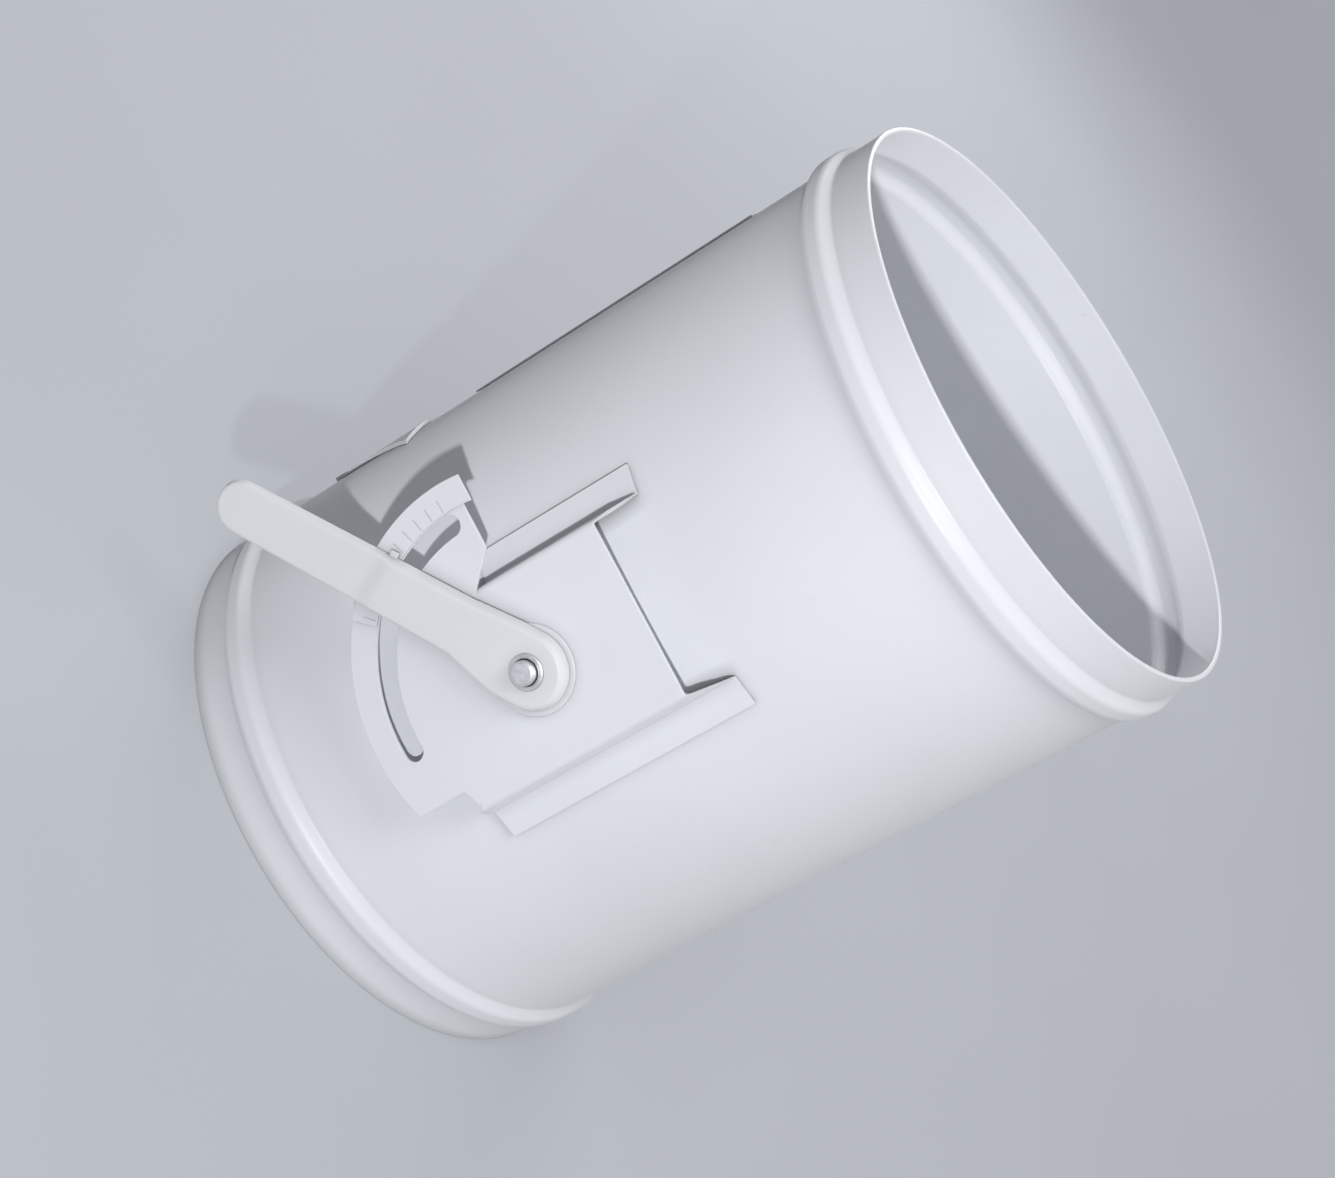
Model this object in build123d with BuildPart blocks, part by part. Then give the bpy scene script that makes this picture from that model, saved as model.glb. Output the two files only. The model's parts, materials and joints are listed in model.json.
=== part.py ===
from build123d import *
import math
import os

# Round volume control damper: a swaged duct casing, a disc blade on a through spindle,
# and a hand lever that turns over a slotted quadrant on a stand-off bracket.
# Millimetres. The duct axis is Z and the origin is the middle of the lower opening.
# The lever side faces -Y.

# Casing
casing_outer_diameter = 249.0
casing_length = 350.0
casing_wall = 2.0
rim_rounding = 0.6
bead_setback = 25.0
bead_crest_width = 6.0
bead_flank = 4.0
bead_height = 3.5
bead_bend = 3.0
pivot_height = 160.0

# Sheet strips along the casing's side seam, above and below a bare stretch
seam_direction = 180.0
seam_strip_thickness = 0.8
seam_strip_width = 44.0
seam_strip_bottom = 138.0
seam_strip_top_margin = 66.0
seam_tab_thickness = 1.6
seam_tab_bottom = 58.0
seam_tab_length = 52.0
seam_tab_lower_width = 44.0
seam_tab_upper_width = 92.0

# Stand-off bracket and its quadrant, as heights above and below the pivot
sheet = 1.5
sheet_bend = 2.0
plate_standoff = 10.5
plate_half_width = 37.0
plate_top = 51.0
plate_bottom = 49.0
wall_lean = 2.0
foot_reach = 51.4
foot_top = 66.0
foot_bottom = 53.0
quadrant_radius = 80.0
quadrant_right = 27.7
quadrant_right_top = 52.0
quadrant_end_height = 6.3
relief_inner_height = 8.6
relief_reach = 50.0
slot_radius = 64.0
slot_width = 9.0
slot_start = -3.5
slot_travel = 91.0

# Raised scale strip with its tick marks
strip_thickness = 0.8
strip_inner_radius = 69.0
strip_end_height = 10.8
strip_start = 41.0
tick_first = 43.0
tick_step = 5.0
tick_count = 10
tick_length = 5.5
tick_width = 0.5
tick_depth = 0.35
tick_inset = 0.6

# Lever
lever_angle = 54.0
lever_reach = 150.0
lever_bar_shift = 2.0
lever_root_width = 24.8
lever_tip_width = 22.4
lever_boss_radius = 15.9
lever_boss_stretch = 10.0
lever_flare_start = 33.0
lever_flare_blend = 25.0
lever_draft = 19.0
lever_neck_depth = 5.0
lever_grip_drop = 1.4
lever_joggle_start = 69.5
lever_joggle_slope = 12.5
lever_joggle_rounding = 14.0
lever_joggle_skew = 10.0
lever_edge_rounding = 1.8
lever_sheet = 1.5

# Spindle, hub and bearings
spindle_diameter = 10.0
spindle_proud = 3.2
spindle_end_chamfer = 0.9
running_clearance = 0.05
seat_clearance = 0.05
side_clearance = 0.3
hub_collar_diameter = 14.8
hub_shoulder_diameter = 18.0
hub_proud = 0.8
hub_edge_chamfer = 0.5
roll_pin_diameter = 2.0
roll_pin_bore = 0.9
bush_outer_diameter = 14.0
bush_flange_diameter = 20.0
bush_flange_thickness = 1.8
bush_inner_reach = 1.0
bush_edge_rounding = 0.4
plate_bush_flange_diameter = 36.0
plate_bush_flange_thickness = 1.2
end_washer_diameter = 20.0
end_washer_thickness = 1.0
end_clip_diameter = 17.0
end_clip_thickness = 1.0
end_clip_gap = 5.6
end_groove_depth = 1.0
spindle_tail = 3.0

# Guide stud under the lever, running in the slot
stud_diameter = 7.4
stud_tail_diameter = 5.0
stud_collar_diameter = 10.0
stud_washer_diameter = 15.0
stud_washer_thickness = 1.0
stud_clip_diameter = 10.0
stud_clip_thickness = 0.8
stud_tail = 1.2
stud_tail_chamfer = 0.4

# Blade and its saddles
blade_edge_clearance = 1.5
blade_thickness = 1.5
blade_rib_radius = 88.0
blade_rib_crest = 6.0
blade_rib_flank = 4.0
blade_rib_height = 3.0
blade_rib_bend = 2.5
blade_notch_radius = 9.0
saddle_thickness = 2.0
saddle_width = 24.0
saddle_span = 46.0
saddle_rib_gap = 3.5
saddle_bend = 1.5
rivet_diameter = 5.0
rivet_head_diameter = 9.5
rivet_head_height = 2.4
rivet_inset = 6.5

# Worked out from the sizes above
casing_radius = casing_outer_diameter / 2
bore_radius = casing_radius - casing_wall
spindle_radius = spindle_diameter / 2
plate_level = casing_radius + plate_standoff
lever_base = plate_level + plate_bush_flange_thickness + side_clearance
neck_level = lever_base + lever_neck_depth
hub_level = neck_level + hub_proud
blade_radius = bore_radius - blade_edge_clearance
blade_angle = lever_angle - slot_start - (slot_travel - 90.0) / 2
bush_bore_radius = spindle_radius + running_clearance
flange_seat = casing_radius + side_clearance / 2
flange_face = flange_seat + bush_flange_thickness
washer_seat = flange_face + side_clearance
clip_seat = washer_seat + end_washer_thickness + side_clearance / 2
spindle_far_end = clip_seat + end_clip_thickness + spindle_tail
tick_radius = strip_inner_radius + tick_inset + tick_length / 2

os.makedirs("parts", exist_ok=True)


def direction(angle):
    """Unit vector at an angle from straight down, turning towards the quadrant."""
    return Vector(-math.sin(math.radians(angle)), 0, -math.cos(math.radians(angle)))


def polar(radius, angle):
    """Point of the lever-side drawing: radius from the pivot, angle as in direction."""
    point = direction(angle) * radius
    return (point.X, point.Z)


def compass(angle):
    """The same angle, counted from +X as circular arcs count it."""
    return 270.0 - angle


def level(distance):
    """Drawing plane on the lever side, this far from the duct axis, facing outwards."""
    return Plane(origin=(0, -distance, pivot_height), x_dir=(1, 0, 0), z_dir=(0, -1, 0))


def lever_plane(distance):
    """As level, but with its X axis along the lever."""
    return Plane(origin=(0, -distance, pivot_height), x_dir=direction(lever_angle), z_dir=(0, -1, 0))


def finish(piece, label):
    """Name a piece and write it out."""
    piece.part.label = label
    export_step(piece.part, f"parts/{label}.step")


# Section through the spindle: X is the radius, Y the distance from the duct axis to the lever
spindle_section = Plane(origin=(0, 0, pivot_height), x_dir=(1, 0, 0), z_dir=(0, 0, -1))
spindle_axis = Axis((0, 0, pivot_height), (0, -1, 0))

# Casing: one rolled wall with an outward swaged bead near each end
wall_middle = casing_radius - casing_wall / 2
bead_middle = wall_middle + bead_height
bead_rise = bead_crest_width / 2 + bead_flank
lower_bead = bead_setback
upper_bead = casing_length - bead_setback

with BuildPart() as casing:
    with BuildSketch(Plane.XZ):
        with BuildLine():
            FilletPolyline(
                (wall_middle, 0),
                (wall_middle, lower_bead - bead_rise),
                (bead_middle, lower_bead - bead_crest_width / 2),
                (bead_middle, lower_bead + bead_crest_width / 2),
                (wall_middle, lower_bead + bead_rise),
                (wall_middle, upper_bead - bead_rise),
                (bead_middle, upper_bead - bead_crest_width / 2),
                (bead_middle, upper_bead + bead_crest_width / 2),
                (wall_middle, upper_bead + bead_rise),
                (wall_middle, casing_length),
                radius=bead_bend,
            )
        trace(line_width=casing_wall)
    revolve(axis=Axis.Z)
    rims = casing.edges().filter_by(GeomType.CIRCLE).group_by(Axis.Z)
    fillet(rims[0] + rims[-1], radius=rim_rounding)
    with BuildSketch(level(0)):
        Circle(bush_outer_diameter / 2 + seat_clearance)
    extrude(amount=casing_outer_diameter, both=True, mode=Mode.SUBTRACT)
finish(casing, "casing")


def curved_sheet(inner_radius, thickness, bottom, lower_width, upper_width, length):
    """Sheet that hugs the casing at the seam; its two side edges run between the two widths."""
    with BuildPart() as sheet_piece:
        with BuildSketch(Plane.XY.offset(bottom)):
            Circle(inner_radius + thickness)
            Circle(inner_radius, mode=Mode.SUBTRACT)
        extrude(amount=length)
        side = Plane(origin=(0, 0, bottom), x_dir=(0, -1, 0), z_dir=(-1, 0, 0))
        with BuildSketch(side):
            with BuildLine():
                Line((-lower_width / 2, 0), (lower_width / 2, 0))
                Bezier((lower_width / 2, 0), (lower_width / 2, length / 2), (upper_width / 2, length))
                Line((upper_width / 2, length), (-upper_width / 2, length))
                Bezier((-upper_width / 2, length), (-lower_width / 2, length / 2), (-lower_width / 2, 0))
            make_face()
        extrude(amount=casing_outer_diameter, mode=Mode.INTERSECT)
    turn = seam_direction - 180.0
    return sheet_piece.part.rotate(Axis.Z, turn)


with BuildPart() as seam_strip:
    add(
        curved_sheet(
            casing_radius + side_clearance / 2,
            seam_strip_thickness,
            seam_strip_bottom,
            seam_strip_width,
            seam_strip_width,
            casing_length - seam_strip_top_margin - seam_strip_bottom,
        )
    )
finish(seam_strip, "seam_strip")

with BuildPart() as seam_tab:
    add(
        curved_sheet(
            casing_radius + side_clearance / 2,
            seam_tab_thickness,
            seam_tab_bottom,
            seam_tab_lower_width,
            seam_tab_upper_width,
            seam_tab_length,
        )
    )
finish(seam_tab, "seam_tab")

# Bracket: one folded sheet, its quadrant wing running out past the left wall
plate_middle = plate_level - sheet / 2
wall_foot_x = plate_half_width + wall_lean


def casing_depth(reach, lift):
    """Distance from the duct axis of a sheet that lies on the casing at this reach."""
    return math.sqrt((casing_radius + lift) ** 2 - reach**2)


foot_lift = side_clearance + sheet / 2
foot_inner = (wall_foot_x, casing_depth(wall_foot_x, foot_lift))
foot_outer = (foot_reach, casing_depth(foot_reach, foot_lift))
fold_section = Plane(origin=(0, 0, pivot_height - foot_bottom), x_dir=(1, 0, 0), z_dir=(0, 0, 1))
slot_line = CenterArc((0, 0), slot_radius, compass(slot_start + slot_travel), slot_travel)

with BuildPart() as quadrant_bracket:
    with BuildSketch(fold_section):
        with BuildLine():
            FilletPolyline(
                (-foot_outer[0], -foot_outer[1]),
                (-foot_inner[0], -foot_inner[1]),
                (-plate_half_width, -plate_middle),
                (plate_half_width, -plate_middle),
                (foot_inner[0], -foot_inner[1]),
                (foot_outer[0], -foot_outer[1]),
                radius=sheet_bend,
            )
        trace(line_width=sheet)
    extrude(amount=foot_bottom + foot_top)
    # The plate stops short of the feet above and below, with slanting wall ends
    with BuildSketch(level(0)):
        with BuildLine():
            Polyline(
                (-plate_half_width, plate_top),
                (plate_half_width, plate_top),
                (wall_foot_x, foot_top),
                (wall_foot_x, foot_top + sheet),
                (-wall_foot_x, foot_top + sheet),
                (-wall_foot_x, foot_top),
                close=True,
            )
        make_face()
        with BuildLine():
            Polyline(
                (-foot_reach - sheet, -foot_bottom - sheet),
                (wall_foot_x, -foot_bottom - sheet),
                (wall_foot_x, -foot_bottom),
                (plate_half_width, -plate_bottom),
                (-plate_half_width, -relief_inner_height),
                (-foot_reach - sheet, -relief_inner_height),
                close=True,
            )
        make_face()
    extrude(amount=plate_level + sheet, mode=Mode.SUBTRACT)
    # Quadrant wing, level with the plate
    with BuildSketch(level(plate_level - sheet)):
        with BuildLine():
            lower_corner = (quadrant_right, -math.sqrt(quadrant_radius**2 - quadrant_right**2))
            upper_corner = (-math.sqrt(quadrant_radius**2 - quadrant_end_height**2), quadrant_end_height)
            Polyline(
                upper_corner,
                (-relief_reach, quadrant_end_height),
                (-plate_half_width + sheet_bend, -relief_inner_height),
                (plate_half_width - sheet_bend, -relief_inner_height),
                (plate_half_width - sheet_bend, -plate_bottom),
                (quadrant_right, -quadrant_right_top),
                lower_corner,
            )
            RadiusArc(lower_corner, upper_corner, quadrant_radius, short_sagitta=True)
        make_face()
    extrude(amount=sheet)
    # Arc slot and spindle bush hole
    with BuildSketch(level(plate_level - sheet)):
        SlotArc(slot_line, slot_width)
        Circle(bush_outer_diameter / 2 + seat_clearance)
    extrude(amount=sheet, mode=Mode.SUBTRACT)
finish(quadrant_bracket, "quadrant_bracket")

# Scale strip on the outer band of the quadrant, past the quadrant's own end
with BuildPart() as scale_strip:
    with BuildSketch(level(plate_level)):
        Circle(quadrant_radius)
        Circle(strip_inner_radius, mode=Mode.SUBTRACT)
        with BuildLine():
            Polyline(
                (0, 0),
                polar(2 * quadrant_radius, strip_start),
                (-2 * quadrant_radius, strip_end_height),
                (0, strip_end_height),
                close=True,
            )
        make_face(mode=Mode.INTERSECT)
    extrude(amount=strip_thickness)
    with BuildSketch(level(plate_level + strip_thickness)):
        with PolarLocations(tick_radius, tick_count, compass(tick_first), -tick_step * tick_count):
            Rectangle(tick_length, tick_width)
    extrude(amount=-tick_depth, mode=Mode.SUBTRACT)
finish(scale_strip, "scale_strip")


def lever_outline(inset):
    """Lever outline from above, moved in by a wall: long boss, flared neck and tapered bar."""
    boss = lever_boss_radius - inset
    root = lever_root_width / 2 - inset
    tip = lever_tip_width / 2 - inset
    # The bar's middle line passes beside the spindle, towards the top of the duct
    rounds = [
        (0, 0, boss),
        (lever_boss_stretch, 0, boss),
        (lever_flare_start, -lever_bar_shift, root),
        (lever_reach - lever_tip_width / 2, -lever_bar_shift, tip),
    ]
    with BuildSketch() as outline:
        for first, second in zip(rounds, rounds[1:]):
            with BuildSketch(mode=Mode.PRIVATE) as stretch:
                for x, y, radius in (first, second):
                    with Locations((x, y)):
                        Circle(radius)
                make_hull()
            add(stretch.sketch)
        waist = outline.vertices().filter_by_position(
            Axis.X, lever_flare_start - root / 2, lever_flare_start + root / 2
        )
        fillet(waist, radius=lever_flare_blend)
    return outline.sketch


def lever_form(inset):
    """Lever body whose grip lies lower than the neck; inset makes the hollow underneath."""
    across = Plane(
        origin=(0, -lever_base, pivot_height),
        x_dir=direction(lever_angle + lever_joggle_skew),
        z_dir=direction(lever_angle + lever_joggle_skew + 90.0),
    )
    neck_top = lever_neck_depth - inset
    grip_top = neck_top - lever_grip_drop
    slope = math.radians(lever_joggle_slope)
    joggle_start = lever_joggle_start - inset * math.tan(slope / 2)
    joggle_end = joggle_start + lever_grip_drop / math.tan(slope)
    with BuildPart() as form:
        with BuildSketch(lever_plane(lever_base)):
            add(lever_outline(inset))
        extrude(amount=neck_top, taper=lever_draft)
        # The joggle: the neck's face bends down to the grip's
        with BuildSketch(across):
            with BuildLine():
                FilletPolyline(
                    (-lever_reach, neck_top),
                    (joggle_start, neck_top),
                    (joggle_end, grip_top),
                    (2 * lever_reach, grip_top),
                    radius=lever_joggle_rounding,
                )
                Polyline(
                    (2 * lever_reach, grip_top),
                    (2 * lever_reach, 0),
                    (-lever_reach, 0),
                    (-lever_reach, neck_top),
                )
            make_face()
        extrude(amount=lever_reach, both=True, mode=Mode.INTERSECT)
        if not inset:
            # Only the edges round the whole upper side: two of its faces share each of the others
            upper_faces = form.faces().filter_by(lambda face: face.normal_at().Y < -0.9)
            upper_edges = [edge for face in upper_faces for edge in face.edges()]
            rim = [edge for edge in upper_edges if sum(edge.is_same(other) for other in upper_edges) == 1]
            fillet(rim, radius=lever_edge_rounding)
    return form.part


with BuildPart() as lever:
    add(lever_form(0))
    add(lever_form(lever_sheet), mode=Mode.SUBTRACT)
    with BuildSketch(lever_plane(lever_base)):
        Circle(hub_collar_diameter / 2 + seat_clearance)
    extrude(amount=lever_neck_depth, mode=Mode.SUBTRACT)
finish(lever, "lever")

# Turned hub staked in the lever, and the spindle that runs right through the duct
web_underside = neck_level - lever_sheet
shoulder_top = web_underside - seat_clearance
hub_bore_radius = spindle_radius + seat_clearance
pin_level = (lever_base + shoulder_top) / 2
pin_section = Plane(
    origin=(0, -pin_level, pivot_height),
    x_dir=(0, -1, 0),
    z_dir=direction(lever_angle + 90.0),
)
spindle_near_end = hub_level + spindle_proud

with BuildPart() as lever_hub:
    with BuildSketch(spindle_section):
        with BuildLine():
            Polyline(
                (hub_bore_radius, lever_base),
                (hub_shoulder_diameter / 2, lever_base),
                (hub_shoulder_diameter / 2, shoulder_top),
                (hub_collar_diameter / 2, shoulder_top),
                (hub_collar_diameter / 2, hub_level - hub_edge_chamfer),
                (hub_collar_diameter / 2 - hub_edge_chamfer, hub_level),
                (hub_bore_radius + hub_edge_chamfer, hub_level),
                (hub_bore_radius, hub_level - hub_edge_chamfer),
                close=True,
            )
        make_face()
    revolve(axis=spindle_axis)
    with BuildSketch(pin_section):
        Circle(roll_pin_diameter / 2 + seat_clearance)
    extrude(amount=hub_shoulder_diameter, both=True, mode=Mode.SUBTRACT)
finish(lever_hub, "lever_hub")

with BuildPart() as hub_roll_pin:
    with BuildSketch(pin_section):
        Circle(roll_pin_diameter / 2)
        Circle(roll_pin_bore / 2, mode=Mode.SUBTRACT)
    extrude(amount=hub_shoulder_diameter / 2, both=True)
finish(hub_roll_pin, "hub_roll_pin")

groove_radius = spindle_radius - end_groove_depth
with BuildPart() as spindle:
    with BuildSketch(spindle_section):
        with BuildLine():
            Polyline(
                (0, -spindle_far_end),
                (spindle_radius - spindle_end_chamfer, -spindle_far_end),
                (spindle_radius, -spindle_far_end + spindle_end_chamfer),
                (spindle_radius, -clip_seat - end_clip_thickness - seat_clearance),
                (groove_radius, -clip_seat - end_clip_thickness - seat_clearance),
                (groove_radius, -clip_seat + seat_clearance),
                (spindle_radius, -clip_seat + seat_clearance),
                (spindle_radius, spindle_near_end - spindle_end_chamfer),
                (spindle_radius - spindle_end_chamfer, spindle_near_end),
                (0, spindle_near_end),
                close=True,
            )
        make_face()
    revolve(axis=spindle_axis)
    with BuildSketch(pin_section):
        Circle(roll_pin_diameter / 2 + seat_clearance)
    extrude(amount=spindle_diameter, both=True, mode=Mode.SUBTRACT)
finish(spindle, "spindle")


# Flanged bushes: one in each duct wall and one in the bracket's plate
def flanged_bush(inner_end, seat, face, flange_diameter, side):
    """Bush with its flange outwards; side is 1 for the lever side and -1 for the far side."""
    with BuildPart() as bush:
        with BuildSketch(spindle_section):
            with BuildLine():
                Polyline(
                    (bush_bore_radius, side * inner_end),
                    (bush_outer_diameter / 2, side * inner_end),
                    (bush_outer_diameter / 2, side * seat),
                    (flange_diameter / 2, side * seat),
                    (flange_diameter / 2, side * face),
                    (bush_bore_radius, side * face),
                    close=True,
                )
            make_face()
        revolve(axis=spindle_axis)
        # The outermost edge of the flange: the widest circle on its outer face
        outer_face = bush.faces().filter_by(Axis.Y).sort_by(Axis.Y, reverse=side < 0)[0]
        flange_rim = outer_face.edges().sort_by(SortBy.RADIUS)[-1]
        fillet(flange_rim, radius=bush_edge_rounding)
    return bush.part


wall_bush_end = bore_radius - bush_inner_reach
for label, side in (("near_bush", 1), ("far_bush", -1)):
    with BuildPart() as wall_bush:
        add(flanged_bush(wall_bush_end, flange_seat, flange_face, bush_flange_diameter, side))
    finish(wall_bush, label)

with BuildPart() as plate_bush:
    add(
        flanged_bush(
            plate_level - sheet - bush_inner_reach,
            plate_level,
            plate_level + plate_bush_flange_thickness,
            plate_bush_flange_diameter,
            1,
        )
    )
finish(plate_bush, "plate_bush")

# Washer and retaining clip on the far end of the spindle
with BuildPart() as end_washer:
    with BuildSketch(level(-washer_seat)):
        Circle(end_washer_diameter / 2)
        Circle(bush_bore_radius, mode=Mode.SUBTRACT)
    extrude(amount=-end_washer_thickness)
finish(end_washer, "end_washer")

with BuildPart() as end_clip:
    with BuildSketch(level(-clip_seat)):
        Circle(end_clip_diameter / 2)
        Circle(groove_radius + seat_clearance, mode=Mode.SUBTRACT)
        with Locations((0, end_clip_diameter / 2)):
            Rectangle(end_clip_gap, end_clip_diameter, mode=Mode.SUBTRACT)
    extrude(amount=-end_clip_thickness)
finish(end_clip, "end_clip")

# Guide stud under the lever: it runs in the slot, with a washer and a clip behind the quadrant
stud_shoulder = plate_level - sheet - side_clearance
stud_washer_face = stud_shoulder - stud_washer_thickness
stud_clip_face = stud_washer_face - stud_clip_thickness
stud_end = stud_clip_face - stud_tail
stud_bore_radius = stud_tail_diameter / 2 + seat_clearance


def on_stud(distance):
    """Drawing plane centred on the guide stud's axis."""
    return Plane(
        origin=direction(lever_angle) * slot_radius + Vector(0, -distance, pivot_height),
        x_dir=direction(lever_angle),
        z_dir=(0, -1, 0),
    )


with BuildPart() as guide_stud:
    with BuildSketch(on_stud(stud_shoulder)):
        Circle(stud_diameter / 2)
    extrude(amount=shoulder_top - stud_shoulder)
    with BuildSketch(on_stud(lever_base)):
        Circle(stud_collar_diameter / 2)
    extrude(amount=shoulder_top - lever_base)
    with BuildSketch(on_stud(stud_shoulder)):
        Circle(stud_tail_diameter / 2)
    extrude(amount=stud_end - stud_shoulder)
    tail_rim = guide_stud.edges().filter_by(GeomType.CIRCLE).sort_by(Axis.Y)[-1]
    chamfer(tail_rim, length=stud_tail_chamfer)
finish(guide_stud, "guide_stud")

with BuildPart() as stud_washer:
    with BuildSketch(on_stud(stud_shoulder)):
        Circle(stud_washer_diameter / 2)
        Circle(stud_bore_radius, mode=Mode.SUBTRACT)
    extrude(amount=-stud_washer_thickness)
finish(stud_washer, "stud_washer")

with BuildPart() as stud_clip:
    with BuildSketch(on_stud(stud_washer_face)):
        Circle(stud_clip_diameter / 2)
        Circle(stud_bore_radius, mode=Mode.SUBTRACT)
    extrude(amount=-stud_clip_thickness)
finish(stud_clip, "stud_clip")

# Blade: a pressed disc beside the spindle, with a stiffening rib and bearing notches
blade_seat = spindle_radius + seat_clearance
blade_middle = blade_seat + blade_thickness / 2
blade_top = blade_seat + blade_thickness
rib_middle = blade_middle + blade_rib_height
rib_rise = blade_rib_crest / 2 + blade_rib_flank
blade_direction = direction(blade_angle)
blade_normal = direction(blade_angle + 90.0)
blade_section = Plane(origin=(0, 0, pivot_height), x_dir=blade_direction, z_dir=(0, 1, 0))


def beside_spindle(distance):
    """Drawing plane parallel to the blade: X runs along the blade, Y towards the lever."""
    return Plane(
        origin=blade_normal * distance + Vector(0, 0, pivot_height),
        x_dir=blade_direction,
        z_dir=blade_normal,
    )


# The straps' outer corners stop short of the rib, which sets how far out they lie
saddle_corner_radius = blade_rib_radius - rib_rise - saddle_rib_gap
saddle_offset = math.sqrt(saddle_corner_radius**2 - (saddle_span / 2) ** 2) - saddle_width / 2
rivet_reach = saddle_span / 2 - rivet_inset
rivet_places = [
    (x, y) for x in (-rivet_reach, rivet_reach) for y in (-saddle_offset, saddle_offset)
]

with BuildPart() as blade:
    with BuildSketch(blade_section):
        with BuildLine():
            FilletPolyline(
                (0, blade_middle),
                (blade_rib_radius - rib_rise, blade_middle),
                (blade_rib_radius - blade_rib_crest / 2, rib_middle),
                (blade_rib_radius + blade_rib_crest / 2, rib_middle),
                (blade_rib_radius + rib_rise, blade_middle),
                (blade_radius, blade_middle),
                radius=blade_rib_bend,
            )
        trace(line_width=blade_thickness)
    revolve(axis=Axis((0, 0, pivot_height), blade_normal))
    with BuildSketch(beside_spindle(0)):
        with Locations((0, blade_radius), (0, -blade_radius)):
            Circle(blade_notch_radius)
        with Locations(*rivet_places):
            Circle(rivet_diameter / 2 + seat_clearance)
    extrude(amount=blade_top + blade_rib_height + blade_thickness, mode=Mode.SUBTRACT)
finish(blade, "blade")

# Two saddle straps that hold the blade to the spindle
strap_middle = blade_seat - saddle_thickness / 2
arch_middle = spindle_radius + seat_clearance + saddle_thickness / 2
arch_bend = arch_middle - seat_clearance
for label, place in (("near_saddle", -saddle_offset), ("far_saddle", saddle_offset)):
    strap_section = Plane(
        origin=(0, place - saddle_width / 2, pivot_height), x_dir=blade_direction, z_dir=(0, 1, 0)
    )
    with BuildPart() as saddle:
        with BuildSketch(strap_section):
            with BuildLine():
                FilletPolyline(
                    (-saddle_span / 2, strap_middle),
                    (-arch_middle, strap_middle),
                    (-arch_middle, -arch_middle),
                    (arch_middle, -arch_middle),
                    (arch_middle, strap_middle),
                    (saddle_span / 2, strap_middle),
                    radius=[saddle_bend, arch_bend, arch_bend, saddle_bend],
                )
            trace(line_width=saddle_thickness)
        extrude(amount=saddle_width)
        with BuildSketch(beside_spindle(0)):
            with Locations((rivet_reach, -place), (-rivet_reach, -place)):
                Circle(rivet_diameter / 2 + seat_clearance)
        extrude(amount=blade_top, mode=Mode.SUBTRACT)
    finish(saddle, label)

# Four round-head rivets through the straps and the blade
rivet_under = blade_seat - saddle_thickness
dome_radius = ((rivet_head_diameter / 2) ** 2 + rivet_head_height**2) / (2 * rivet_head_height)
dome_turn = math.degrees(math.acos((dome_radius - rivet_head_height) / dome_radius))
with BuildPart() as saddle_rivets:
    for x, y in rivet_places:
        foot = beside_spindle(0).from_local_coords((x, y, 0))
        with BuildSketch(Plane(origin=foot, x_dir=blade_direction, z_dir=(0, 1, 0))):
            with BuildLine():
                Line((0, rivet_under - rivet_head_height), (0, blade_top + rivet_head_height))
                upper_dome = JernArc(
                    (0, blade_top + rivet_head_height), (1, 0), dome_radius, -dome_turn
                )
                lower_dome = JernArc(
                    (0, rivet_under - rivet_head_height), (1, 0), dome_radius, dome_turn
                )
                Polyline(
                    upper_dome @ 1,
                    (rivet_diameter / 2, blade_top),
                    (rivet_diameter / 2, rivet_under),
                    lower_dome @ 1,
                )
            make_face()
        revolve(axis=Axis(foot, blade_normal))
finish(saddle_rivets, "saddle_rivets")
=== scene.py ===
import json
import math

import bmesh
import bpy
from bpy.props import FloatProperty, FloatVectorProperty, PointerProperty
from bpy.types import Operator, Panel, PropertyGroup
from mathutils import Matrix, Vector


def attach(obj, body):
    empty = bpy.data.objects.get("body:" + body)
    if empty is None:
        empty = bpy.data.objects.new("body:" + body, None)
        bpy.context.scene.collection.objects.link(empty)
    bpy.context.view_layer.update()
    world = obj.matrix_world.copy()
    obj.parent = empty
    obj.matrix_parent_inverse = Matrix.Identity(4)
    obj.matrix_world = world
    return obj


bl_info = {
    "name": "Round volume control damper",
    "version": (1, 0, 0),
    "blender": (4, 5, 0),
    "location": "3D View > Sidebar > Damper",
    "description": "Finishes, a reading nib and a plain studio for a coated round duct damper",
    "category": "Object",
}

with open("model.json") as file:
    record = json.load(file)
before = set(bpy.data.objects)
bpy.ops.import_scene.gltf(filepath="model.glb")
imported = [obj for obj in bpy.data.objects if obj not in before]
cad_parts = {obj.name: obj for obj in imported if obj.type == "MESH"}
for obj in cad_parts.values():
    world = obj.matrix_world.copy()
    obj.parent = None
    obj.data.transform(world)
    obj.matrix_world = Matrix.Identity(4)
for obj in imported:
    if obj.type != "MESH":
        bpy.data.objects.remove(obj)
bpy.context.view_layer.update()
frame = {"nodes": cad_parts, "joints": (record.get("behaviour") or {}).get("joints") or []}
NODES = frame["nodes"]
PIVOT = Vector(frame["joints"][0]["pos_m"])
LEVER_BODY = frame["joints"][0]["child"]
MM = 0.001

# The nib at the lever's edge: the lever's direction in degrees from straight down towards the
# quadrant, the place of the nib's middle along and across the lever from the spindle and out
# from the duct's axis, its size, the rounding of its edges, and the distance at which two of
# its vertices count as one
LEVER_ANGLE = 54.0
NIB_ALONG = 70.1 * MM
NIB_ACROSS = 15.0 * MM
NIB_LEVEL = 137.3 * MM
NIB_SIZE = (3.4 * MM, 2.8 * MM, 1.2 * MM)
NIB_ROUNDING = 0.25 * MM
MERGE_DISTANCE = 0.001 * MM

# Limits are the pattern values between which a tone changes, and tones are the shares of a
# colour that it has there. Most of a noise texture lies between the noise limits.
WHITE = (1.0, 1.0, 1.0)
NOISE_LIMITS = (0.3, 0.7)

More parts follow.
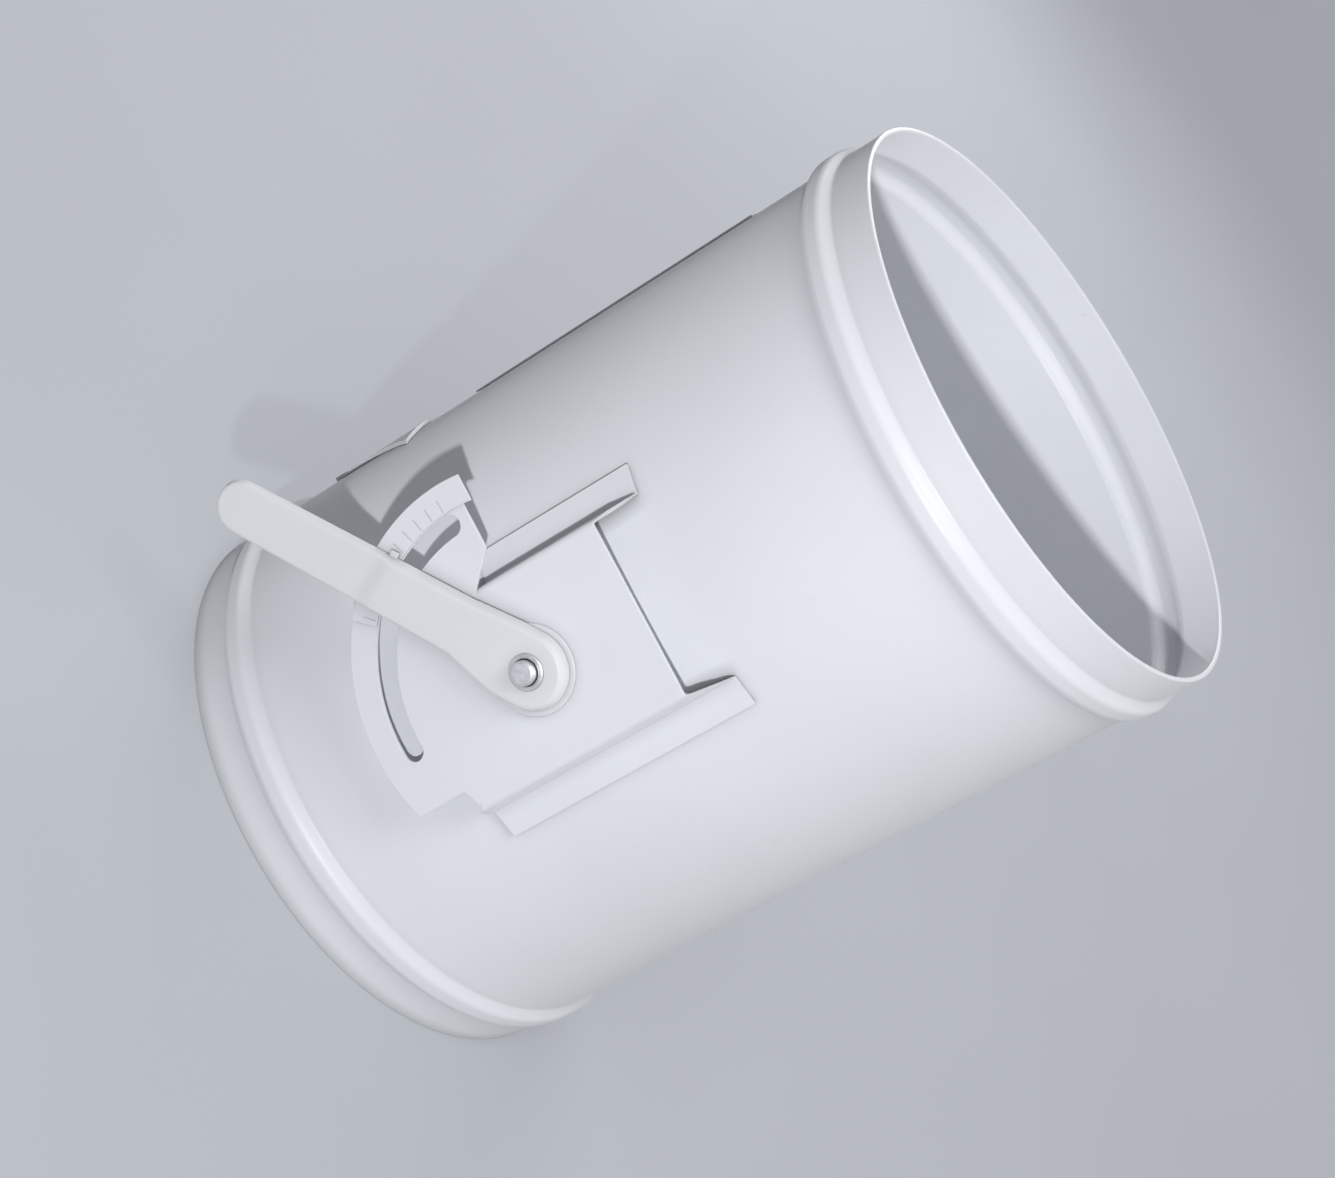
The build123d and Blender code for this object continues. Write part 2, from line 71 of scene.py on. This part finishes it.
# Coated sheet: wide clouds of thicker and thinner coat, specks of dust, painted shade that
# darkens corners within reach of another wall, a painted highlight that lightens edges where the
# rounded normal leaves the flat one, and the orange peel, which is flatter on the lever
CLOUD_SIZE, CLOUD_TONES = 90 * MM, (0.97, 1.015)
SPECK_SIZE, SPECK_LIMITS, SPECK_TONES = 4 * MM, (0.70, 0.80), (1.0, 0.93)
CORNER_SHADE_REACH, CORNER_SHADE_TONES = 7 * MM, (0.42, 1.12)
EDGE_HIGHLIGHT_FACING, EDGE_HIGHLIGHT_SHARE, EDGE_HIGHLIGHT_TONE = (0.995, 0.85), 0.85, 1.28
DUCT_PEEL_DEPTH, LEVER_PEEL_DEPTH = 0.012 * MM, 0.006 * MM
COAT_ROUGHNESS = (0.38, 0.48)

# Galvanised sheet: zinc crystals, each with a fine grain
CRYSTAL_SIZE, CRYSTAL_LIMITS, CRYSTAL_TONES = 9 * MM, (0.2, 0.8), (0.86, 1.08)
ZINC_GRAIN = 1.2 * MM
ZINC_ROUGHNESS = (0.34, 0.5)

# Turned steel: lathe rings, patches of the plating, painted shade that darkens what is within
# reach of another wall, and rounded edges. A Wave texture at scale 1 draws its rings a wave
# period apart.
RING_SPACING = 1.0 * MM
WAVE_PERIOD = math.tau / 20
PATCH_SIZE, PATCH_LIMITS, PATCH_TONES = 2.5 * MM, (0.35, 0.65), (0.9, 1.05)
GROOVE_SHADE_REACH, GROOVE_SHADE_TONES = 3 * MM, (0.2, 1.1)
TURNED_EDGE = 0.3 * MM
TURNED_ROUGHNESS = (0.4, 0.52)

# Moulded nylon: the mould's texture
MOULD_GRAIN, MOULD_TONES = 0.6 * MM, (0.96, 1.02)
NYLON_ROUGHNESS = (0.42, 0.52)

# Stage: the floor's mottle, the tones in which it is seen and in which it lights the object, how
# far it reaches each way, the camera's sensor, and the point that the lights face, just in
# front of the duct's axis at half its height
MOTTLE_SIZE = 400 * MM
FLOOR_SEEN_TONES, FLOOR_LIT_TONES = (0.985, 1.015), (0.39, 0.41)
FLOOR_REACH = 12.0
SENSOR_WIDTH = 36.0
LIGHT_TARGET = (0.0, -0.06, 0.17)

# The colour sockets of a Mix node, which shares its names with its number and vector sockets
MIX_SHARE, MIX_FIRST, MIX_SECOND, MIX_COLOUR = 0, 6, 7, 2


def linear(hex_colour):
    """sRGB hex value as linear red, green and blue."""
    values = [int(hex_colour[i:i + 2], 16) / 255 for i in (1, 3, 5)]
    return tuple(v / 12.92 if v <= 0.04045 else ((v + 0.055) / 1.055) ** 2.4 for v in values)


class DamperFinish(PropertyGroup):
    coat: FloatVectorProperty(
        name="Coat", description="Colour of the coated duct sheet", subtype="COLOR",
        default=linear("#DCDEE3"))
    lever_coat: FloatVectorProperty(
        name="Lever coat", description="Colour of the coated lever", subtype="COLOR",
        default=linear("#D8DADD"))
    zinc: FloatVectorProperty(
        name="Zinc", description="Colour of galvanised sheet", subtype="COLOR",
        default=linear("#B9BDC2"))
    plating: FloatVectorProperty(
        name="Plating", description="Colour of plated turned steel", subtype="COLOR",
        default=linear("#DEDEDF"))
    nylon: FloatVectorProperty(
        name="Nylon", description="Colour of natural nylon", subtype="COLOR",
        default=linear("#E7E4D8"))
    peel_size: FloatProperty(
        name="Peel size", description="Spacing of the coat's orange peel", subtype="DISTANCE",
        unit="LENGTH", default=1.6 * MM)
    edge_radius: FloatProperty(
        name="Edge radius", description="How far the coat rounds a sheet edge",
        subtype="DISTANCE", unit="LENGTH", default=0.45 * MM)


class DamperStage(PropertyGroup):
    camera_place: FloatVectorProperty(
        name="Camera", description="Where the camera stands", subtype="TRANSLATION",
        unit="LENGTH", default=(0.08122, -1.13552, 0.69298))
    camera_turn: FloatVectorProperty(
        name="Camera turn", description="The camera's rotation", subtype="QUATERNION", size=4,
        default=(0.71314849, 0.47660258, -0.24870209, 0.44990719))
    camera_lens: FloatProperty(
        name="Lens", description="Focal length on a 36 mm sensor", subtype="NONE", default=80.213)
    key_place: FloatVectorProperty(
        name="Key place", description="Where the key light stands, just right of the camera",
        subtype="TRANSLATION", unit="LENGTH", default=(0.338, -1.432, 0.675))
    key_size: FloatProperty(
        name="Key size", description="Side of the square key light", subtype="DISTANCE",
        unit="LENGTH", default=0.035)
    key_power: FloatProperty(
        name="Key light", description="Power of the key light", unit="POWER", default=13.0)
    fill_place: FloatVectorProperty(
        name="Fill place", description="Where the soft light stands that shines into the duct",
        subtype="TRANSLATION", unit="LENGTH", default=(0.12, -0.6, 1.56))
    fill_size: FloatProperty(
        name="Fill size", description="Side of the square fill light", subtype="DISTANCE",
        unit="LENGTH", default=0.6)
    fill_power: FloatProperty(
        name="Fill light", description="Power of the fill light", unit="POWER", default=8.0)
    back_place: FloatVectorProperty(
        name="Back place", description="Where the soft light stands that lights the far side",
        subtype="TRANSLATION", unit="LENGTH", default=(-0.86, 1.43, 0.97))
    back_size: FloatProperty(
        name="Back size", description="Side of the square back light", subtype="DISTANCE",
        unit="LENGTH", default=1.0)
    back_power: FloatProperty(
        name="Back light", description="Power of the back light", unit="POWER", default=17.0)
    floor_colour: FloatVectorProperty(
        name="Floor", description="Colour of the floor and the backdrop", subtype="COLOR",
        default=linear("#C3C7CE"))
    floor_glow: FloatProperty(
        name="Floor glow", description="Strength of the floor's glow, which lights nothing",
        default=0.54)
    sky_strength: FloatProperty(
        name="Sky", description="Strength of the even light around the object", default=0.13)


def set_inputs(tree, node, inputs):
    """Give each of a node's inputs its value, or the socket that feeds it."""
    for name, value in inputs.items():
        if isinstance(value, bpy.types.NodeSocket):
            tree.links.new(value, node.inputs[name])
        else:
            node.inputs[name].default_value = value


def add_node(tree, kind, inputs=None, stops=(), **settings):
    """Add a shader node with its inputs, its settings and the stops of a colour ramp."""
    made = tree.nodes.new(kind)
    for name, value in settings.items():
        setattr(made, name, value)
    for index, (position, colour) in enumerate(stops):
        made.color_ramp.elements[index].position = position
        made.color_ramp.elements[index].color = (*colour, 1)
    set_inputs(tree, made, inputs or {})
    return made


def new_material(name):
    """Empty material with its Principled shader and the Object coordinates it is drawn in."""
    material = bpy.data.materials.new(name)
    material.use_nodes = True
    tree = material.node_tree
    tree.nodes.clear()
    shader = add_node(tree, "ShaderNodeBsdfPrincipled")
    add_node(tree, "ShaderNodeOutputMaterial", {"Surface": shader.outputs["BSDF"]})
    place = add_node(tree, "ShaderNodeTexCoord").outputs["Object"]
    return material, tree, shader, place


def finish(tree, shader, colour, pattern, roughness, bump, others):
    """Give the shader its colour, a roughness that follows a pattern, its bump and the rest."""
    rough = add_node(
        tree, "ShaderNodeMapRange",
        {"Value": pattern, "To Min": roughness[0], "To Max": roughness[1]})
    bumped = add_node(tree, "ShaderNodeBump", bump)
    set_inputs(tree, shader, {
        "Base Color": colour, "Roughness": rough.outputs["Result"],
        "Normal": bumped.outputs["Normal"], **others})


def shade(colour, share):
    """The colour, darker or lighter by a share."""
    return tuple(min(1.0, c * share) for c in colour)


def tones(colour, limits, shares):
    """Stops of a colour ramp: at each limit, that share of the colour."""
    return [(limit, shade(colour, share)) for limit, share in zip(limits, shares)]


def coated_steel(name, colour, peel_depth, looks):
    """Coated sheet steel: sprayed and stoved polyester, with a little orange peel.

    It gives a soft, wide highlight, a colour that hardly varies, a painted highlight that makes
    edges a touch lighter, and painted shade that makes corners a touch darker.
    """
    material, tree, shader, place = new_material(name)
    cloud, peel, dust = (
        add_node(
            tree, "ShaderNodeTexNoise",
            {"Vector": place, "Scale": 1 / size, "Detail": detail}).outputs["Fac"]
        for size, detail in ((CLOUD_SIZE, 3.0), (looks.peel_size, 1.0), (SPECK_SIZE, 4.0)))
    rounded = add_node(
        tree, "ShaderNodeBevel", {"Radius": looks.edge_radius}, samples=6).outputs["Normal"]
    flat = add_node(tree, "ShaderNodeNewGeometry").outputs["Normal"]
    facing = add_node(
        tree, "ShaderNodeVectorMath", {0: rounded, 1: flat},
        operation="DOT_PRODUCT").outputs["Value"]
    # Painted highlight: edges, where the rounded normal leaves the flat one, are painted lighter
    edge_highlight = add_node(
        tree, "ShaderNodeMapRange",
        {"Value": facing, "From Min": EDGE_HIGHLIGHT_FACING[0], "From Max": EDGE_HIGHLIGHT_FACING[1],
         "To Min": 0.0, "To Max": EDGE_HIGHLIGHT_SHARE}).outputs["Result"]
    # Painted shade: corners within reach of another wall are painted darker, and open sheet a
    # touch lighter
    shade_openness = add_node(
        tree, "ShaderNodeAmbientOcclusion", {"Distance": CORNER_SHADE_REACH}, samples=8).outputs["AO"]
    corner_shade = add_node(
        tree, "ShaderNodeMapRange",
        {"Value": shade_openness, "To Min": CORNER_SHADE_TONES[0],
         "To Max": CORNER_SHADE_TONES[1]}).outputs["Result"]
    tone = add_node(
        tree, "ShaderNodeValToRGB", {"Fac": cloud},
        stops=tones(colour, NOISE_LIMITS, CLOUD_TONES)).outputs["Color"]
    specks = add_node(
        tree, "ShaderNodeValToRGB", {"Fac": dust},
        stops=tones(WHITE, SPECK_LIMITS, SPECK_TONES)).outputs["Color"]
    for layer in (specks, corner_shade):
        tone = add_node(
            tree, "ShaderNodeMix", {MIX_SHARE: 1.0, MIX_FIRST: tone, MIX_SECOND: layer},
            data_type="RGBA", blend_type="MULTIPLY").outputs[MIX_COLOUR]
    edge_highlighted = add_node(
        tree, "ShaderNodeMix",
        {MIX_SHARE: edge_highlight, MIX_FIRST: tone, MIX_SECOND: (*shade(colour, EDGE_HIGHLIGHT_TONE), 1)},
        data_type="RGBA").outputs[MIX_COLOUR]
    finish(
        tree, shader, edge_highlighted, cloud, COAT_ROUGHNESS,
        {"Height": peel, "Normal": rounded, "Distance": peel_depth},
        {"IOR": 1.5, "Diffuse Roughness": 0.5})
    return material


def galvanised_steel(colour):
    """Hot-dip galvanised sheet: zinc crystals about 9 mm across, each of a slightly different
    grey and gloss."""
    material, tree, shader, place = new_material("galvanised_steel_sheet")
    crystals = add_node(
        tree, "ShaderNodeTexVoronoi", {"Vector": place, "Scale": 1 / CRYSTAL_SIZE})
    grain = add_node(
        tree, "ShaderNodeTexNoise", {"Vector": place, "Scale": 1 / ZINC_GRAIN, "Detail": 3.0})
    grey = add_node(
        tree, "ShaderNodeRGBToBW", {"Color": crystals.outputs["Color"]}).outputs["Val"]
    tone = add_node(
        tree, "ShaderNodeValToRGB", {"Fac": grey},
        stops=tones(colour, CRYSTAL_LIMITS, CRYSTAL_TONES)).outputs["Color"]
    finish(
        tree, shader, tone, grey, ZINC_ROUGHNESS,
        {"Height": grain.outputs["Fac"], "Strength": 0.6, "Distance": 0.03 * MM},
        {"Metallic": 1.0})
    return material


def turned_steel(colour):
    """Zinc-plated turned steel: fine rings about the spindle's axis from the lathe tool, bright
    rounded edges and painted shade that darkens the grooves.

    The real feed is near 0.1 mm, too fine to show, so the rings are drawn 1 mm apart.
    """
    material, tree, shader, place = new_material("zinc_plated_turned_steel")
    centred = add_node(
        tree, "ShaderNodeMapping",
        {"Vector": place, "Location": (0.0, 0.0, -PIVOT.z)}).outputs["Vector"]
    rings = add_node(
        tree, "ShaderNodeTexWave",
        {"Vector": centred, "Scale": WAVE_PERIOD / RING_SPACING, "Distortion": 0.6,
         "Detail": 2.0},
        wave_type="RINGS", rings_direction="Y").outputs["Fac"]
    patches = add_node(
        tree, "ShaderNodeTexNoise",
        {"Vector": place, "Scale": 1 / PATCH_SIZE, "Detail": 4.0}).outputs["Fac"]
    rounded = add_node(
        tree, "ShaderNodeBevel", {"Radius": TURNED_EDGE}, samples=6).outputs["Normal"]
    # Painted shade: grooves and corners within reach of another wall are painted darker, and open
    # metal a touch lighter
    shade_openness = add_node(
        tree, "ShaderNodeAmbientOcclusion", {"Distance": GROOVE_SHADE_REACH}, samples=8).outputs["AO"]
    groove_shade = add_node(
        tree, "ShaderNodeMapRange",
        {"Value": shade_openness, "To Min": GROOVE_SHADE_TONES[0], "To Max": GROOVE_SHADE_TONES[1]}).outputs["Result"]
    tone = add_node(
        tree, "ShaderNodeValToRGB", {"Fac": patches},
        stops=tones(colour, PATCH_LIMITS, PATCH_TONES)).outputs["Color"]
    groove_shaded = add_node(
        tree, "ShaderNodeMix", {MIX_SHARE: 1.0, MIX_FIRST: tone, MIX_SECOND: groove_shade},
        data_type="RGBA", blend_type="MULTIPLY").outputs[MIX_COLOUR]
    finish(
        tree, shader, groove_shaded, patches, TURNED_ROUGHNESS,
        {"Height": rings, "Normal": rounded, "Strength": 0.5, "Distance": 0.02 * MM},
        {"Metallic": 1.0})
    return material


def moulded_nylon(colour):
    """Natural moulded nylon: off-white, with a fine matt texture from the mould."""
    material, tree, shader, place = new_material("natural_moulded_nylon")
    grain = add_node(
        tree, "ShaderNodeTexNoise",
        {"Vector": place, "Scale": 1 / MOULD_GRAIN, "Detail": 2.0}).outputs["Fac"]
    tone = add_node(
        tree, "ShaderNodeValToRGB", {"Fac": grain},
        stops=tones(colour, NOISE_LIMITS, MOULD_TONES)).outputs["Color"]
    finish(
        tree, shader, tone, grain, NYLON_ROUGHNESS,
        {"Height": grain, "Strength": 0.4, "Distance": 0.02 * MM}, {"IOR": 1.53})
    return material


def cover(material, *names):
    """Give CAD nodes their finish."""
    for name in names:
        for slot in NODES[name].material_slots:
            slot.material = material


def new_object(name, mesh_bm, material):
    """Turn a finished bmesh into a mesh object in the scene."""
    mesh = bpy.data.meshes.new(name)
    mesh_bm.to_mesh(mesh)
    mesh_bm.free()
    mesh.materials.append(material)
    made = bpy.data.objects.new(name, mesh)
    bpy.context.scene.collection.objects.link(made)
    return made


def place_piece(name, mesh_bm, material, body):
    """Turn a finished bmesh into a smooth piece that rides on a body."""
    bmesh.ops.remove_doubles(mesh_bm, verts=mesh_bm.verts, dist=MERGE_DISTANCE)
    bmesh.ops.recalc_face_normals(mesh_bm, faces=mesh_bm.faces)
    for face in mesh_bm.faces:
        face.smooth = True
    piece = new_object(name, mesh_bm, material)
    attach(piece, body)


def beside_lever(along, across, level):
    """Matrix that takes a piece from the origin to its place at the lever.

    Its x axis then points along the lever, away from the spindle, its y axis square to that
    and up the duct, and its z axis out from the duct, where the level is measured.
    """
    turn = math.radians(LEVER_ANGLE)
    down = Vector((-math.sin(turn), 0.0, -math.cos(turn)))
    side = Vector((-math.cos(turn), 0.0, math.sin(turn)))
    facing = Vector((0.0, -1.0, 0.0))
    place = PIVOT + down * along + side * across + facing * level
    return Matrix((*zip(down, side, facing, place), (0.0, 0.0, 0.0, 1.0)))


class DAMPER_OT_duct(Operator):
    """Finish the duct wall and all the coated sheet on it, and the nylon bushes"""

    bl_idname = "damper.duct"
    bl_label = "Duct"

    def execute(self, context):
        looks = context.scene.damper_finish
        coat = coated_steel(
            "stoved_polyester_coat_on_sheet", looks.coat, DUCT_PEEL_DEPTH, looks)
        cover(
            coat, "casing", "seam_strip", "seam_tab", "quadrant_bracket", "scale_strip",
            "plate_bush")
        cover(moulded_nylon(looks.nylon), "near_bush", "far_bush", "stud_washer")
        return {"FINISHED"}


class DAMPER_OT_lever(Operator):
    """Finish the lever and add the small nib that points at the scale"""

    bl_idname = "damper.lever"
    bl_label = "Lever"

    def execute(self, context):
        looks = context.scene.damper_finish
        coat = coated_steel("smooth_coat_on_lever", looks.lever_coat, LEVER_PEEL_DEPTH, looks)
        cover(coat, "lever")
        nib = bmesh.new()
        bmesh.ops.create_cube(nib, size=1.0)
        bmesh.ops.scale(nib, verts=nib.verts, vec=NIB_SIZE)
        bmesh.ops.bevel(
            nib, geom=nib.edges[:], affect="EDGES", offset=NIB_ROUNDING, segments=3,
            profile=0.5, material=-1)
        bmesh.ops.transform(
            nib, matrix=beside_lever(NIB_ALONG, NIB_ACROSS, NIB_LEVEL), verts=nib.verts)
        place_piece("reading_nib", nib, coat, LEVER_BODY)
        return {"FINISHED"}


class DAMPER_OT_spindle(Operator):
    """Finish the spindle, its hub and the small metal parts"""

    bl_idname = "damper.spindle"
    bl_label = "Spindle"

    def execute(self, context):
        cover(
            turned_steel(context.scene.damper_finish.plating), "spindle", "lever_hub",
            "hub_roll_pin", "guide_stud", "stud_clip", "end_washer", "end_clip",
            "saddle_rivets")
        return {"FINISHED"}


class DAMPER_OT_blade(Operator):
    """Finish the blade and its straps"""

    bl_idname = "damper.blade"
    bl_label = "Blade"

    def execute(self, context):
        cover(
            galvanised_steel(context.scene.damper_finish.zinc), "blade", "near_saddle",
            "far_saddle")
        return {"FINISHED"}


def seen_directly(tree):
    """1 for what the camera, a reflection or a view through glass shows, 0 for what lights."""
    path = add_node(tree, "ShaderNodeLightPath").outputs
    seen = path["Is Camera Ray"]
    for other in ("Is Glossy Ray", "Is Transmission Ray"):
        seen = add_node(
            tree, "ShaderNodeMath", {0: seen, 1: path[other]}, operation="MAXIMUM").outputs[0]
    return seen


def floor_paint(colour, glow):
    """Pale matt paint, mottled a little.

    It is darker in the light than it looks, so that it throws little light at the object, and
    a glow that only the camera and reflections see makes up for that.
    """
    material, tree, shader, place = new_material("pale_matt_floor_paint")
    mottle = add_node(
        tree, "ShaderNodeTexNoise",
        {"Vector": place, "Scale": 1 / MOTTLE_SIZE, "Detail": 2.0}).outputs["Fac"]
    seen, lit = (
        add_node(
            tree, "ShaderNodeValToRGB", {"Fac": mottle},
            stops=tones(colour, NOISE_LIMITS, shares)).outputs["Color"]
        for shares in (FLOOR_SEEN_TONES, FLOOR_LIT_TONES))
    strength = add_node(
        tree, "ShaderNodeMath", {0: seen_directly(tree), 1: glow}, operation="MULTIPLY")
    set_inputs(tree, shader, {
        "Base Color": lit, "Emission Color": seen, "Emission Strength": strength.outputs[0],
        "Roughness": 0.9})
    return material


def even_sky(colour, strength):
    """World that shows the backdrop's colour and lights the object with an even white."""
    world = bpy.data.worlds.new("even_sky")
    world.use_nodes = True
    tree = world.node_tree
    tree.nodes.clear()
    seen = add_node(tree, "ShaderNodeBackground", {"Color": (*colour, 1), "Strength": 1.0})
    lit = add_node(tree, "ShaderNodeBackground", {"Color": (*WHITE, 1), "Strength": strength})
    both = add_node(
        tree, "ShaderNodeMixShader",
        {0: seen_directly(tree), 1: lit.outputs["Background"], 2: seen.outputs["Background"]})
    add_node(tree, "ShaderNodeOutputWorld", {"Surface": both.outputs["Shader"]})
    return world


def area_light(name, place, size, power):
    """Square soft light that faces the light target."""
    data = bpy.data.lights.new(name, "AREA")
    data.shape = "SQUARE"
    data.size = size
    data.energy = power
    light = bpy.data.objects.new(name, data)
    light.location = place
    away = Vector(LIGHT_TARGET) - Vector(place)
    light.rotation_euler = away.to_track_quat("-Z", "Y").to_euler()
    bpy.context.scene.collection.objects.link(light)


class DAMPER_OT_stage(Operator):
    """Set the floor, the backdrop, the lights and the camera"""

    bl_idname = "damper.stage"
    bl_label = "Stage"

    def execute(self, context):
        stage = context.scene.damper_stage
        ground = bmesh.new()
        bmesh.ops.create_grid(ground, x_segments=1, y_segments=1, size=FLOOR_REACH)
        floor = new_object("floor", ground, floor_paint(stage.floor_colour, stage.floor_glow))
        context.scene.world = even_sky(stage.floor_colour, stage.sky_strength)

        area_light("key", stage.key_place, stage.key_size, stage.key_power)
        area_light("fill", stage.fill_place, stage.fill_size, stage.fill_power)
        area_light("back", stage.back_place, stage.back_size, stage.back_power)

        data = bpy.data.cameras.new("camera")
        data.sensor_fit = "HORIZONTAL"
        data.sensor_width = SENSOR_WIDTH
        data.lens = stage.camera_lens
        camera = bpy.data.objects.new("camera", data)
        camera.location = stage.camera_place
        camera.rotation_mode = "QUATERNION"
        camera.rotation_quaternion = stage.camera_turn
        context.scene.collection.objects.link(camera)
        context.scene.camera = camera
        context.scene.view_settings.view_transform = "Standard"
        return {"FINISHED"}


class DAMPER_PT_panel(Panel):
    """Sidebar panel with the finishes, the stage and the steps of the damper"""

    bl_idname = "DAMPER_PT_panel"
    bl_label = "Damper"
    bl_space_type = "VIEW_3D"
    bl_region_type = "UI"
    bl_category = "Damper"

    def draw(self, context):
        for group in (context.scene.damper_finish, context.scene.damper_stage):
            for name in group.__annotations__:
                self.layout.prop(group, name)
        for step in STEPS:
            self.layout.operator(step.bl_idname)


STEPS = (DAMPER_OT_duct, DAMPER_OT_lever, DAMPER_OT_spindle, DAMPER_OT_blade, DAMPER_OT_stage)
CLASSES = (DamperFinish, DamperStage, *STEPS, DAMPER_PT_panel)


def register():
    """Register the classes and hang the property groups on the scene."""
    for cls in CLASSES:
        bpy.utils.register_class(cls)
    bpy.types.Scene.damper_finish = PointerProperty(type=DamperFinish)
    bpy.types.Scene.damper_stage = PointerProperty(type=DamperStage)


def unregister():
    """Take the property groups and the classes away again."""
    del bpy.types.Scene.damper_stage
    del bpy.types.Scene.damper_finish
    for cls in reversed(CLASSES):
        bpy.utils.unregister_class(cls)


def main():
    """Run every step in order."""
    register()
    bpy.ops.damper.duct()
    bpy.ops.damper.lever()
    bpy.ops.damper.spindle()
    bpy.ops.damper.blade()
    bpy.ops.damper.stage()


if __name__ == "__main__":
    main()
